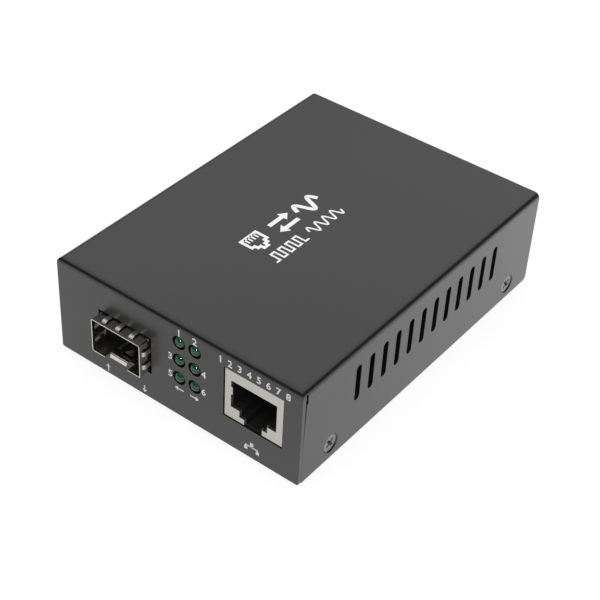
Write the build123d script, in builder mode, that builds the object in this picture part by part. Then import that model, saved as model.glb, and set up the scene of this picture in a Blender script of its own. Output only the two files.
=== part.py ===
from build123d import *
import math
import os

# Small desktop fibre media converter, in millimetres: +X right, +Y back, +Z up.
# The origin is on the desk, below the middle of the whole object, its port cage included.

os.makedirs("parts", exist_ok=True)

# Steel box
case_width = 70.0
case_depth = 94.0
case_height = 26.4
sheet = 1.0
bend_radius = 1.5
lap_gap = 0.15
seam_foot_gap = 0.05
seam_head_gap = 0.45
seam_knee_rise = 11.5
notch_width = 0.65
notch_height = 2.6
notch_inset = 1.5
notch_fold_reach = 0.6
panel_corner = 0.5
side_corner = 1.1
flange_height = 8.8
foot_height = 1.2
foot_radius = 5.0
foot_inset = 9.0
foot_edge = 0.4

# Vent slots in the side walls
vent_count = 12
vent_pitch = 5.0
vent_width = 1.9
vent_height = 10.0
vent_rise = 16.1
vent_shift = 0.45

# Countersunk screws that hold the cover
screw_shank_radius = 1.5
screw_head_radius = 2.2
screw_head_depth = 0.7
screw_length = 6.0
screw_gap = 0.08
thread_gap = 0.03
screw_sink = 0.28
screw_rise = 4.2
screw_front_inset = 11.3
screw_rear_inset = 9.8
screw_tip_chamfer = 0.4
recess_width = 0.75
recess_span = 2.7
recess_depth = 0.75
recess_taper = 14
screw_collar_radius = 2.0
screw_collar_length = 1.2

# Circuit board and what it stands on
board_rise = 8.0
board_thickness = 1.6
board_side_gap = 0.45
board_front_inset = 3.6
board_rear_inset = 1.6
standoff_across_flats = 5.5
standoff_spigot_radius = 2.0
standoff_side_inset = 6.5
standoff_front_inset = 40.0
standoff_rear_inset = 20.0
board_screw_head_radius = 2.75
board_screw_head_height = 1.8
board_screw_length = 5.4
board_hole_radius = 1.7

# Fibre module cage, with its latch tongue
cage_side_inset = 20.3
cage_width = 14.6
cage_height = 9.4
cage_length = 48.0
cage_reach = 3.1
cage_sheet = 0.25
cage_corner = 0.55
port_gap_side = 0.6
port_gap_top = 0.5
tongue_width = 5.0
tongue_length = 9.0
tongue_slit = 0.9
tongue_rise = 1.1
lip_start = 1.2
lip_length = 0.45
lip_drop = 1.05
lip_bend = 0.3
latch_hole_half_width = 1.6
latch_hole_start = 3.3
latch_hole_end = 5.95
cage_pin_width = 0.8
cage_pin_length = 2.6
cage_pin_count = 5
cage_pin_front_inset = 4.0
cage_pin_rear_inset = 1.3
pin_hole_radius = 0.6

# Spring collar round the cage
collar_sheet = 0.15
collar_depth = 1.9
finger_width = 1.2
finger_pitch_top = 4.0
finger_pitch_side = 3.75
finger_bottom_inset = 1.9
finger_overlap = 0.1
finger_start = 0.65
finger_crest = 0.55
finger_run = 1.0
finger_lift = 0.02
finger_window_gap = 0.25
corner_slit_width = 0.4
corner_slit_start = 1.1

# Fibre module connector inside the cage
connector_width = 11.6
connector_depth = 9.0
connector_height = 5.8
connector_rear_inset = 2.4
connector_slot_width = 9.8
connector_slot_height = 1.6
connector_slot_depth = 5.5
connector_slot_rise = 3.2
connector_contact_count = 10
connector_contact_pitch = 0.8
connector_contact_width = 0.3
connector_contact_sheet = 0.2
connector_tail = 1.0
connector_bend_gap = 0.6
connector_entry = 0.5

# Network jack: shield, housing and contact wires
jack_side_inset = 12.88
jack_width = 15.8
jack_height = 13.45
jack_depth = 16.5
jack_recess = 0.2
jack_sheet = 0.25
jack_lift = 0.3
jack_port_gap = 0.25
jack_fit = 0.08
mouth_half_width = 6.22
mouth_floor = 3.25
mouth_ceiling = 10.8
step_half_width = 3.8
step_floor = 1.5
notch_half_width = 2.45
cavity_inset = 0.32
cavity_depth = 12.6
housing_rear_gap = 1.6
ground_tab_reach = 0.3
ground_tab_height = 2.2
ground_tab_rise = 7.9
ground_tab_round = 0.27
shield_tab_width = 1.6
shield_tab_length = 2.8
shield_tab_y = 6.5
jack_wire_count = 8
jack_wire_pitch = 1.02
jack_wire_width = 0.4
jack_wire_thickness = 0.3
jack_wire_start = 0.8
jack_wire_slope_end = 9.5
jack_wire_drop_gap = 0.6
wire_slot_height = 0.9
wire_slot_drop = 4.2
wire_hole_radius = 0.32
jack_post_radius = 1.5
jack_post_spacing = 11.4
jack_post_y = 7.5

# Indicator lamps and their holders
lamp_radius = 1.5
lamp_length = 5.3
lamp_rim_radius = 1.9
lamp_rim_height = 1.0
lamp_proud = 0.55
lamp_hole_radius = 1.8
lamp_spacing = 4.45
lamp_first_rise = 3.2
lamp_pitch = 5.1
lamp_levels = ("bottom", "middle", "top")
lamp_fit = 0.1
holder_gap = 0.15
holder_front_gap = 0.4
holder_depth = 5.4
holder_cap = 2.3
lead_thickness = 0.5
lead_spacing = 2.54
lead_first_bend = 1.1
lead_step = 1.3
lead_hole_radius = 0.45

# Power jack on the rear panel: housing, centre pin and leaf spring
power_side_inset = 18.0
power_width = 9.2
power_height = 11.0
power_depth = 13.5
power_bore_radius = 3.15
power_bore_depth = 10.0
power_collar_radius = 4.4
power_collar_gap = 0.2
power_axis_rise = 6.0
power_edge = 1.0
power_pin_radius = 1.05
power_root_radius = 0.8
power_pin_recess = 0.8
power_plate_width = 2.5
power_plate_sheet = 0.5
power_spring_sheet = 0.3
power_spring_width = 2.4
power_spring_bow = 1.0
power_spring_inset = 4.2
power_spring_run = 7.0
power_channel_depth = 0.75
slot_gap = 0.3
solder_tail = 1.2

# Chips: plastic bodies on sprung leads
chip_lift = 0.1
chip_chamfer = 0.25
chip_dot_radius = 0.4
chip_dot_depth = 0.08
chip_dot_inset = 1.1
chip_lead_sheet = 0.15
chip_lead_shoulder = 0.4
chip_lead_slope = 0.2
chip_lead_foot = 0.5
converter_gap = 1.1
converter_size = 10.0
converter_height = 1.4
converter_lead_count = 16
converter_lead_pitch = 0.55
converter_lead_width = 0.24
transformer_gap = 5.7
transformer_width = 15.1
transformer_depth = 7.2
transformer_height = 5.2
transformer_lead_count = 12
transformer_lead_pitch = 1.0
transformer_lead_width = 0.4
controller_y = 13.0
controller_width = 6.5
controller_depth = 10.3
controller_height = 2.35
controller_lead_count = 8
controller_lead_pitch = 1.27
memory_y = 25.0
memory_width = 4.9
memory_depth = 3.9
memory_height = 1.5
memory_lead_count = 4
memory_lead_pitch = 1.1
package_lead_width = 0.42

# Other things soldered to the board
transistor_width = 6.6
transistor_depth = 6.1
transistor_height = 2.3
transistor_tab_sheet = 0.5
transistor_tab_width = 5.3
transistor_tab_reach = 1.4
transistor_lead_width = 0.8
transistor_lead_pitch = 4.6
transistor_lead_step = 0.8
storage_side_inset = 15.0
storage_rear_inset = 12.0
storage_radius = 5.0
storage_height = 12.5
storage_lead_radius = 0.3
storage_lead_spacing = 5.0
storage_groove_rise = 1.8
storage_groove_radius = 0.45
can_edge = 0.5
output_radius = 3.15
output_height = 5.4
output_base_size = 6.6
output_base_height = 1.5
output_base_chamfer = 1.2
inductor_size = 10.0
inductor_height = 6.0
inductor_corner = 1.7
inductor_ring_radius = 3.9
inductor_ring_width = 0.5
inductor_ring_depth = 0.3
filter_size = 6.6
filter_height = 5.0
filter_corner = 1.2
crystal_gap = 2.8
crystal_length = 10.6
crystal_width = 4.4
crystal_height = 3.5
crystal_flange = 0.45
crystal_flange_height = 0.4
diode_rear_inset = 10.0
diode_length = 6.9
diode_width = 5.9
diode_height = 2.3
diode_terminal_sheet = 0.2
diode_terminal_width = 3.0
diode_terminal_tuck = 1.2
passive_length = 1.6
passive_width = 0.8
passive_height = 0.55
passive_ring = 7.1
passive_pitch = 2.6
passive_count = 5
row_gap = 3.4
row_pitch = 1.5
row_count = 12

# Places worked out from the sizes above
case_bottom = foot_height
case_top = case_bottom + case_height
front_y = -(case_depth + cage_reach) / 2 + cage_reach
rear_y = front_y + case_depth
mid_y = (front_y + rear_y) / 2
inner_x = case_width / 2 - sheet
base_x = inner_x - lap_gap
flange_x = base_x - sheet
seam_y = front_y + sheet
notch_z = case_top - bend_radius + notch_fold_reach - notch_height / 2
base_front_y = seam_y + seam_head_gap + lap_gap
base_top = case_top - sheet - lap_gap
rear_wall_y = rear_y - sheet
board_top = case_bottom + board_rise
board_bottom = board_top - board_thickness
board_half_width = flange_x - board_side_gap
board_front_y = front_y + board_front_inset
board_rear_y = rear_y - board_rear_inset
cage_x = cage_side_inset - case_width / 2
cage_front_y = front_y - cage_reach
cage_rear_y = cage_front_y + cage_length
cage_bottom = board_top
cage_mid_z = cage_bottom + cage_height / 2
jack_x = case_width / 2 - jack_side_inset
jack_front_y = front_y + jack_recess
jack_rear_y = jack_front_y + jack_depth
jack_bottom = board_top + jack_lift
jack_mid_z = jack_bottom + jack_height / 2
power_x = case_width / 2 - power_side_inset
power_z = board_top + power_axis_rise
power_back_y = rear_wall_y - power_collar_gap
power_nose_y = power_back_y - power_depth
power_bore_end_y = rear_y - power_bore_depth
head_slope = (screw_head_radius - screw_shank_radius) / screw_head_depth
head_angle = 2 * math.degrees(math.atan(head_slope))
screw_spots = [(front_y + screw_front_inset, case_bottom + screw_rise),
               (rear_y - screw_rear_inset, case_bottom + screw_rise)]
standoff_x = case_width / 2 - standoff_side_inset
standoff_spots = [(side * standoff_x, y) for side in (-1, 1)
                  for y in (front_y + standoff_front_inset, rear_y - standoff_rear_inset)]
foot_spots = {"front_left": (-1, front_y + foot_inset), "front_right": (1, front_y + foot_inset),
              "rear_left": (-1, rear_y - foot_inset), "rear_right": (1, rear_y - foot_inset)}
lamp_mid_x = (cage_x + cage_width / 2 + port_gap_side + jack_x - jack_width / 2 - jack_port_gap) / 2
lamp_x = [lamp_mid_x + side * lamp_spacing / 2 for side in (-1, 1)]
lamp_z = [board_top + lamp_first_rise + level * lamp_pitch for level in range(len(lamp_levels))]
lamp_back_y = front_y - lamp_proud + lamp_length
holder_front_y = front_y + sheet + holder_front_gap
holder_rear_y = holder_front_y + holder_depth
lead_bend_y = [holder_rear_y + lead_first_bend + level * lead_step for level in range(len(lamp_levels))]
finger_rows_top = [cage_x + step * finger_pitch_top for step in (-1, 0, 1)]
finger_rows_side = [cage_mid_z + step * finger_pitch_side for step in (-0.5, 0.5)]
finger_rows_bottom = [cage_x + side * (cage_width / 2 - finger_bottom_inset) for side in (-1, 1)]
collar_front_y = front_y + sheet + lap_gap
cage_pin_first_y = board_front_y + cage_pin_front_inset
cage_pin_pitch = (cage_rear_y - cage_pin_rear_inset - cage_pin_first_y) / (cage_pin_count - 1)

# Places of the things on the board: beside the cage, behind the jack, and in rows towards the rear
chip_lead_reach = chip_lead_shoulder + chip_lead_slope + chip_lead_foot
side_lane_x = (cage_x - cage_width / 2 - board_half_width) / 2
transformer_mid_y = jack_rear_y + transformer_gap + transformer_depth / 2
row_mid_y = transformer_mid_y + transformer_depth / 2 + row_gap
converter_x = (cage_x + cage_width / 2 + standoff_x - board_screw_head_radius) / 2
converter_mid_y = row_mid_y + passive_length / 2 + converter_gap + chip_lead_reach + converter_size / 2
crystal_mid_y = lead_bend_y[-1] + crystal_gap + crystal_length / 2
storage_x = storage_side_inset - case_width / 2
storage_mid_y = rear_y - storage_rear_inset
diode_x = (storage_x + storage_radius + power_x - power_width / 2) / 2
diode_mid_y = rear_y - diode_rear_inset
power_row_start_y = max(cage_rear_y, converter_mid_y + converter_size / 2 + chip_lead_reach)
power_row_end_y = min(power_nose_y, storage_mid_y - storage_radius)
power_row_y = (power_row_start_y + power_row_end_y) / 2
power_row_half_span = standoff_x - board_screw_head_radius
power_row_widths = [filter_size, output_base_size, output_base_size, inductor_size, transistor_width]
power_row_gap = (2 * power_row_half_span - sum(power_row_widths)) / (len(power_row_widths) - 1)
power_row_x = [sum(power_row_widths[:place]) + place * power_row_gap + width / 2 - power_row_half_span
               for place, width in enumerate(power_row_widths)]
filter_x, output_left_x, output_right_x, inductor_x, transistor_x = power_row_x


def write(piece, name):
    """Label a finished piece and write it as one STEP file."""
    piece.part.label = name
    export_step(piece.part, f"parts/{name}.step")


def facing_front(y):
    """A drawing plane seen from the front: its x is X and its y is Z."""
    return Plane(origin=(0, y, 0), x_dir=(1, 0, 0), z_dir=(0, -1, 0))


def side_plane(side, y, z, inset=0.0):
    """A plane on the left (-1) or right (1) wall of the box that faces outwards."""
    return Plane(origin=(side * (case_width / 2 - inset), y, z), x_dir=(0, 0.8, 0.6), z_dir=(side, 0, 0))


screw_planes = [side_plane(side, y, z) for side in (-1, 1) for y, z in screw_spots]

# Cover: top, front and both sides folded from one sheet
with BuildPart() as cover:
    with BuildSketch(Plane.XY.offset(case_bottom)):
        with Locations((0, mid_y)):
            Rectangle(case_width, case_depth)
    extrude(amount=case_height)
    folds = cover.faces().sort_by(Axis.Z)[-1].edges().sort_by(Axis.Y)[:-1]
    fillet(folds, radius=bend_radius)
    open_faces = [cover.faces().sort_by(Axis.Z)[0], cover.faces().sort_by(Axis.Y)[-1]]
    offset(amount=-sheet, openings=open_faces)
    # the front panel laps the ends of the side walls, and the seam opens towards a notch in the fold
    for side in (-1, 1):
        with BuildSketch(Plane.YZ.offset(side * (case_width - sheet) / 2)):
            with BuildLine():
                Polyline((seam_y, case_bottom), (seam_y + seam_foot_gap, case_bottom),
                         (seam_y + seam_foot_gap, case_bottom + seam_knee_rise),
                         (seam_y + seam_head_gap, notch_z), (seam_y, notch_z), close=True)
            make_face()
            with Locations((front_y + notch_inset, notch_z)):
                SlotOverall(notch_height, notch_width, rotation=90)
        extrude(amount=sheet / 2, both=True, mode=Mode.SUBTRACT)
    # lower corners of the front panel, and the rear lower corners of the side walls
    panel_ends = cover.edges().filter_by(Axis.Y).filter_by_position(Axis.Y, front_y, seam_y)
    fillet(panel_ends.group_by(Axis.Z)[0], radius=panel_corner)
    wall_ends = cover.edges().filter_by(Axis.X).group_by(Axis.Y)[-1]
    fillet(wall_ends.group_by(Axis.Z)[0], radius=side_corner)
    # port cut-outs and lamp holes
    with BuildSketch(facing_front(front_y)):
        with Locations((cage_x, cage_mid_z)):
            Rectangle(cage_width + 2 * port_gap_side, cage_height + 2 * port_gap_top)
        with Locations((jack_x, jack_mid_z)):
            Rectangle(jack_width + 2 * jack_port_gap, jack_height + 2 * jack_port_gap)
        with Locations(*[(x, z) for x in lamp_x for z in lamp_z]):
            Circle(lamp_hole_radius)
    extrude(amount=-2 * sheet, mode=Mode.SUBTRACT)
    # vents through both walls
    with BuildSketch(Plane.YZ):
        with Locations((mid_y + vent_shift, case_bottom + vent_rise)):
            with GridLocations(vent_pitch, vent_pitch, vent_count, 1):
                SlotOverall(vent_height, vent_width, rotation=90)
    extrude(amount=case_width, both=True, mode=Mode.SUBTRACT)
    with Locations(*screw_planes):
        CounterSinkHole(radius=screw_shank_radius + screw_gap, depth=2 * sheet,
                        counter_sink_radius=screw_head_radius + screw_gap + screw_sink * head_slope,
                        counter_sink_angle=head_angle)
write(cover, "cover")

# Chassis base: bottom, rear panel and two low side flanges folded from one sheet
with BuildPart() as chassis_base:
    with BuildSketch(Plane.XY.offset(case_bottom)):
        with Locations((0, (base_front_y + rear_y) / 2)):
            Rectangle(2 * base_x, rear_y - base_front_y)
    extrude(amount=base_top - case_bottom)
    folds = chassis_base.faces().sort_by(Axis.Z)[0].edges().sort_by(Axis.Y)[1:]
    fillet(folds, radius=bend_radius)
    open_faces = [chassis_base.faces().sort_by(Axis.Z)[-1], chassis_base.faces().sort_by(Axis.Y)[0]]
    offset(amount=-sheet, openings=open_faces)
    # the flanges stop below the vents, and end just before the rear panel
    with BuildSketch(Plane.YZ):
        with BuildLine():
            Polyline((base_front_y - sheet, base_top + sheet), (rear_wall_y, base_top + sheet),
                     (rear_wall_y, case_bottom + bend_radius),
                     (rear_wall_y - seam_head_gap, case_bottom + bend_radius),
                     (rear_wall_y - seam_head_gap, case_bottom + flange_height),
                     (base_front_y - sheet, case_bottom + flange_height), close=True)
        make_face()
    extrude(amount=case_width, both=True, mode=Mode.SUBTRACT)
    # burred and tapped collars that take the cover screws
    with Locations(*[side_plane(side, y, z, inset=sheet + lap_gap + sheet)
                     for side in (-1, 1) for y, z in screw_spots]):
        Cylinder(screw_collar_radius, screw_collar_length,
                 align=(Align.CENTER, Align.CENTER, Align.MAX))
    with Locations(*screw_planes):
        Cylinder(screw_shank_radius + thread_gap, 2 * screw_length, mode=Mode.SUBTRACT)
    # holes for the pressed-in standoffs and the power jack's collar
    with BuildSketch(Plane.XY.offset(case_bottom)):
        with Locations(*standoff_spots):
            Circle(standoff_spigot_radius + thread_gap)
    extrude(amount=2 * sheet, mode=Mode.SUBTRACT)
    with BuildSketch(facing_front(rear_y)):
        with Locations((power_x, power_z)):
            Circle(power_collar_radius + power_collar_gap)
    extrude(amount=2 * sheet, mode=Mode.SUBTRACT)
write(chassis_base, "chassis_base")

# One countersunk cross-head screw, head upwards on the XY plane
with BuildPart() as cover_screw_form:
    with BuildSketch(Plane.XZ):
        with BuildLine():
            Polyline((0, 0), (screw_head_radius, 0), (screw_shank_radius, -screw_head_depth),
                     (screw_shank_radius, -screw_length + screw_tip_chamfer),
                     (screw_shank_radius - screw_tip_chamfer, -screw_length),
                     (0, -screw_length), close=True)
        make_face()
    revolve(axis=Axis.Z)
    with BuildSketch(Plane(origin=(0, 0, 0), z_dir=(0, 0, -1))):
        Rectangle(recess_span, recess_width)
        Rectangle(recess_width, recess_span)
    extrude(amount=recess_depth, taper=recess_taper, mode=Mode.SUBTRACT)

with BuildPart() as cover_screws:
    with Locations(*[side_plane(side, y, z, inset=screw_sink) for side in (-1, 1)
                     for y, z in screw_spots]):
        add(cover_screw_form.part)
write(cover_screws, "cover_screws")

# Four stick-on rubber feet
for corner, (side, foot_y) in foot_spots.items():
    with BuildPart() as foot:
        with BuildSketch(Plane.XY):
            with Locations((side * (case_width / 2 - foot_inset), foot_y)):
                Circle(foot_radius)
        extrude(amount=foot_height)
        fillet(foot.edges().group_by(Axis.Z)[0], radius=foot_edge)
    write(foot, f"foot_{corner}")

# Hexagonal standoffs, pressed into the base by a spigot and tapped for the board screws
with BuildPart() as board_standoffs:
    with BuildSketch(Plane.XY.offset(case_bottom + sheet)):
        with Locations(*standoff_spots):
            RegularPolygon(standoff_across_flats / math.sqrt(3), 6)
    extrude(amount=board_bottom - case_bottom - sheet)
    with BuildSketch(Plane.XY.offset(case_bottom)):
        with Locations(*standoff_spots):
            Circle(standoff_spigot_radius)
    extrude(amount=sheet)
    with BuildSketch(Plane.XY.offset(board_bottom)):
        with Locations(*standoff_spots):
            Circle(screw_shank_radius + thread_gap)
    extrude(amount=-board_screw_length, mode=Mode.SUBTRACT)
write(board_standoffs, "board_standoffs")

# One round-head cross-head screw, its seat on the XY plane
with BuildPart() as board_screw_form:
    with BuildSketch(Plane.XY):
        Circle(board_screw_head_radius)
    extrude(amount=board_screw_head_height)
    fillet(board_screw_form.edges().group_by(Axis.Z)[-1], radius=board_screw_head_height / 2)
    with BuildSketch(Plane.XY):
        Circle(screw_shank_radius)
    extrude(amount=-board_screw_length + thread_gap)
    with BuildSketch(Plane.XY.offset(board_screw_head_height)):
        Rectangle(recess_span, recess_width)
        Rectangle(recess_width, recess_span)
    extrude(amount=-recess_depth, mode=Mode.SUBTRACT)

with BuildPart() as board_screws:
    with Locations(*[(x, y, board_top) for x, y in standoff_spots]):
        add(board_screw_form.part)
write(board_screws, "board_screws")

# Fibre module cage: one folded sheet, open at the front, with a sprung latch tongue in its floor
cage_pin_spots = [(cage_x + side * (cage_width - cage_sheet) / 2, cage_pin_first_y + step * cage_pin_pitch)
                  for side in (-1, 1) for step in range(cage_pin_count)]
connector_rear_y = cage_rear_y - connector_rear_inset
connector_front_y = connector_rear_y - connector_depth
window_width = finger_width + 2 * finger_window_gap
window_front_y = cage_front_y + finger_start + finger_overlap
window_depth = collar_front_y - window_front_y
tongue_z = cage_bottom + cage_sheet / 2
with BuildPart() as sfp_cage:
    with BuildSketch(facing_front(cage_front_y)):
        with Locations((cage_x, cage_mid_z)):
            RectangleRounded(cage_width, cage_height, cage_corner)
            RectangleRounded(cage_width - 2 * cage_sheet, cage_height - 2 * cage_sheet,
                             cage_corner - cage_sheet, mode=Mode.SUBTRACT)
    extrude(amount=-cage_length)
    # rear wall above the connector's tails
    with BuildSketch(facing_front(cage_rear_y)):
        with Locations((cage_x, cage_bottom + cage_height / 2 + connector_height / 2)):
            Rectangle(cage_width - 2 * cage_sheet, cage_height - connector_height - cage_sheet)
    extrude(amount=cage_sheet)
    # floor opening for the connector, and the gap in which the tongue stands
    with BuildSketch(Plane.XY.offset(cage_bottom)):
        with Locations((cage_x, (connector_front_y - connector_rear_inset + cage_rear_y) / 2)):
            Rectangle(cage_width - 4 * cage_sheet,
                      cage_rear_y - connector_front_y + connector_rear_inset)
        with Locations((cage_x, cage_front_y + tongue_length / 2)):
            Rectangle(tongue_width + 2 * tongue_slit, tongue_length)
    extrude(amount=cage_sheet, mode=Mode.SUBTRACT)
    # the tongue runs forward in the floor, climbs to a crest and curls down at its tip
    with BuildSketch(Plane.YZ.offset(cage_x)):
        with BuildLine():
            FilletPolyline((cage_front_y + tongue_length + cage_sheet, tongue_z),
                           (cage_front_y + latch_hole_start - cage_sheet, tongue_z),
                           (cage_front_y + lip_start, tongue_z + tongue_rise),
                           (cage_front_y + lip_start - lip_length, tongue_z + tongue_rise - lip_drop),
                           radius=lip_bend)
        trace(line_width=cage_sheet)
    extrude(amount=tongue_width / 2, both=True)
    # three-cornered hole that catches the module's latch
    with BuildSketch(Plane.XY.offset(cage_bottom)):
        with BuildLine():
            Polyline((cage_x - latch_hole_half_width, cage_front_y + latch_hole_start),
                     (cage_x + latch_hole_half_width, cage_front_y + latch_hole_start),
                     (cage_x, cage_front_y + latch_hole_end), close=True)
        make_face()
    extrude(amount=cage_sheet, mode=Mode.SUBTRACT)
    # windows below the spring fingers, and the slits along the two upper folds
    with BuildSketch(Plane.XY.offset(cage_bottom + cage_height)):
        with Locations(*[(x, window_front_y + window_depth / 2) for x in finger_rows_top]):
            Rectangle(window_width, window_depth)
    extrude(amount=-cage_sheet, mode=Mode.SUBTRACT)
    with BuildSketch(Plane.YZ.offset(cage_x)):
        with Locations(*[(window_front_y + window_depth / 2, z) for z in finger_rows_side]):
            Rectangle(window_depth, window_width)
    extrude(amount=cage_width, both=True, mode=Mode.SUBTRACT)
    with BuildSketch(Plane.XY.offset(cage_bottom + cage_height)):
        for side in (-1, 1):
            with Locations((cage_x + side * (cage_width - corner_slit_width) / 2,
                            (cage_front_y + corner_slit_start + front_y) / 2)):
                Rectangle(corner_slit_width, cage_reach - corner_slit_start)
    extrude(amount=-corner_slit_width, mode=Mode.SUBTRACT)
    # press-fit pins along both sides
    with BuildSketch(Plane.XY.offset(cage_bottom + cage_sheet + cage_corner)):
        with Locations(*cage_pin_spots):
            Rectangle(cage_sheet, cage_pin_width)
    extrude(amount=-cage_pin_length - cage_sheet - cage_corner)
write(sfp_cage, "sfp_cage")


def finger_line(top, start_y, end_y):
    """Middle of an arched leaf seen from the side: a steep rise to its crest, and a long fall behind it."""
    foot_z = top + finger_lift + collar_sheet / 2
    crest = (start_y + finger_run, top + finger_crest - collar_sheet / 2)
    with BuildLine() as line:
        TangentArc(crest, (start_y, foot_z), tangent=(-1, 0))
        TangentArc(crest, (end_y, foot_z), tangent=(1, 0))
    return line.line


# Spring collar: a band round the cage behind the panel, with arched fingers that reach forward
finger_front_y = cage_front_y + finger_start
finger_rear_y = collar_front_y + collar_sheet
finger_top = finger_line(cage_height / 2, finger_front_y, finger_rear_y)
finger_side = finger_line(cage_width / 2, finger_front_y, finger_rear_y)
with BuildPart() as sfp_spring_collar:
    with BuildSketch(facing_front(collar_front_y)):
        with Locations((cage_x, cage_mid_z)):
            RectangleRounded(cage_width + 2 * collar_sheet, cage_height + 2 * collar_sheet,
                             cage_corner + collar_sheet)
            RectangleRounded(cage_width, cage_height, cage_corner, mode=Mode.SUBTRACT)
    extrude(amount=-collar_depth)
    # top and bottom fingers
    for x, flip in [(x, 1) for x in finger_rows_top] + [(x, -1) for x in finger_rows_bottom]:
        with BuildSketch(Plane(origin=(x, 0, cage_mid_z), x_dir=(0, 1, 0), z_dir=(flip, 0, 0))):
            trace(finger_top.edges(), line_width=collar_sheet)
        extrude(amount=finger_width / 2, both=True)
    # side fingers
    for z, flip in [(z, side) for z in finger_rows_side for side in (-1, 1)]:
        with BuildSketch(Plane(origin=(cage_x, 0, z), x_dir=(0, 1, 0), z_dir=(0, 0, -flip))):
            trace(finger_side.edges(), line_width=collar_sheet)
        extrude(amount=finger_width / 2, both=True)
write(sfp_spring_collar, "sfp_spring_collar")

# Fibre module connector: a housing with a card slot, and two staggered rows of contacts
connector_slot_z = cage_bottom + connector_slot_rise
contact_rows = [(1, 0.0), (-1, connector_contact_pitch / 2)]
contact_offsets = [(step - (connector_contact_count - 1) / 2) * connector_contact_pitch
                   for step in range(connector_contact_count)]


def connector_contact_line(row):
    """Side view of one contact: along the card slot, out of the back and down to the board."""
    z = connector_slot_z + row * (connector_slot_height / 2 - connector_contact_sheet)
    foot_z = board_top + connector_contact_sheet / 2
    bend_y = connector_rear_y + connector_bend_gap + row * connector_contact_sheet
    with BuildLine() as line:
        Polyline((connector_front_y + connector_entry, z), (bend_y, z), (bend_y, foot_z),
                 (connector_rear_y + connector_tail + connector_contact_sheet, foot_z))
    return line.line


with BuildPart() as sfp_connector:
    with BuildSketch(Plane.XY.offset(board_top)):
        with Locations((cage_x, connector_rear_y - connector_depth / 2)):
            Rectangle(connector_width, connector_depth)
    extrude(amount=connector_height)
    chamfer(sfp_connector.edges().group_by(Axis.Y)[0].filter_by(Axis.Z), length=cage_sheet)
    with BuildSketch(facing_front(connector_front_y)):
        with Locations((cage_x, connector_slot_z)):
            Rectangle(connector_slot_width, connector_slot_height)
    extrude(amount=-connector_slot_depth, mode=Mode.SUBTRACT)
    # passages for the two rows of contacts through the back
    with BuildSketch(facing_front(connector_front_y)):
        for row, shift in contact_rows:
            with Locations((cage_x, connector_slot_z + row * (connector_slot_height / 2
                                                              - connector_contact_sheet))):
                Rectangle(connector_slot_width, 2 * connector_contact_sheet)
    extrude(amount=-connector_depth, mode=Mode.SUBTRACT)
write(sfp_connector, "sfp_connector")

with BuildPart() as sfp_contacts:
    for row, shift in contact_rows:
        for offset_x in contact_offsets:
            with BuildSketch(Plane.YZ.offset(cage_x + offset_x + shift - connector_contact_pitch / 4)):
                trace(connector_contact_line(row), line_width=connector_contact_sheet)
            extrude(amount=connector_contact_width / 2, both=True)
write(sfp_contacts, "sfp_contacts")


def jack_mouth(inset, floor_z):
    """Front outline of the jack's mouth: a wide window with two steps down to a latch notch."""
    half, step, notch = (mouth_half_width - inset, step_half_width - inset, notch_half_width - inset)
    ceiling = jack_bottom + mouth_ceiling - inset
    floor = jack_bottom + mouth_floor + inset
    ledge = jack_bottom + step_floor + inset
    with BuildLine() as outline:
        Polyline((-half, ceiling), (-half, floor), (-step, floor), (-step, ledge), (-notch, ledge),
                 (-notch, floor_z), (notch, floor_z), (notch, ledge), (step, ledge), (step, floor),
                 (half, floor), (half, ceiling), close=True)
    return outline.line


# Network jack shield: one folded sheet, open below
shield_tab_spots = [(jack_x + side * (jack_width - jack_sheet) / 2, jack_front_y + shield_tab_y)
                    for side in (-1, 1)]
with BuildPart() as rj45_shield:
    with BuildSketch(Plane.XY.offset(jack_bottom)):
        with Locations((jack_x, (jack_front_y + jack_rear_y) / 2)):
            Rectangle(jack_width, jack_depth)
    extrude(amount=jack_height)
    offset(amount=-jack_sheet, openings=rj45_shield.faces().sort_by(Axis.Z)[0], kind=Kind.INTERSECTION)
    with BuildSketch(Plane(origin=(jack_x, jack_front_y, 0), x_dir=(1, 0, 0), z_dir=(0, -1, 0))):
        make_face(jack_mouth(0, jack_bottom - jack_sheet).edges())
    extrude(amount=-jack_sheet, mode=Mode.SUBTRACT)
    # contact bump of the ground spring on the left of the mouth
    with BuildSketch(facing_front(jack_front_y)):
        with Locations((jack_x - mouth_half_width + ground_tab_reach / 2, jack_bottom + ground_tab_rise)):
            RectangleRounded(2 * ground_tab_reach, ground_tab_height, ground_tab_round)
    extrude(amount=-jack_sheet)
    # board tabs
    with BuildSketch(Plane.XY.offset(jack_bottom + jack_sheet)):
        with Locations(*shield_tab_spots):
            Rectangle(jack_sheet, shield_tab_width)
    extrude(amount=-shield_tab_length - jack_sheet)
write(rj45_shield, "rj45_shield")

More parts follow.
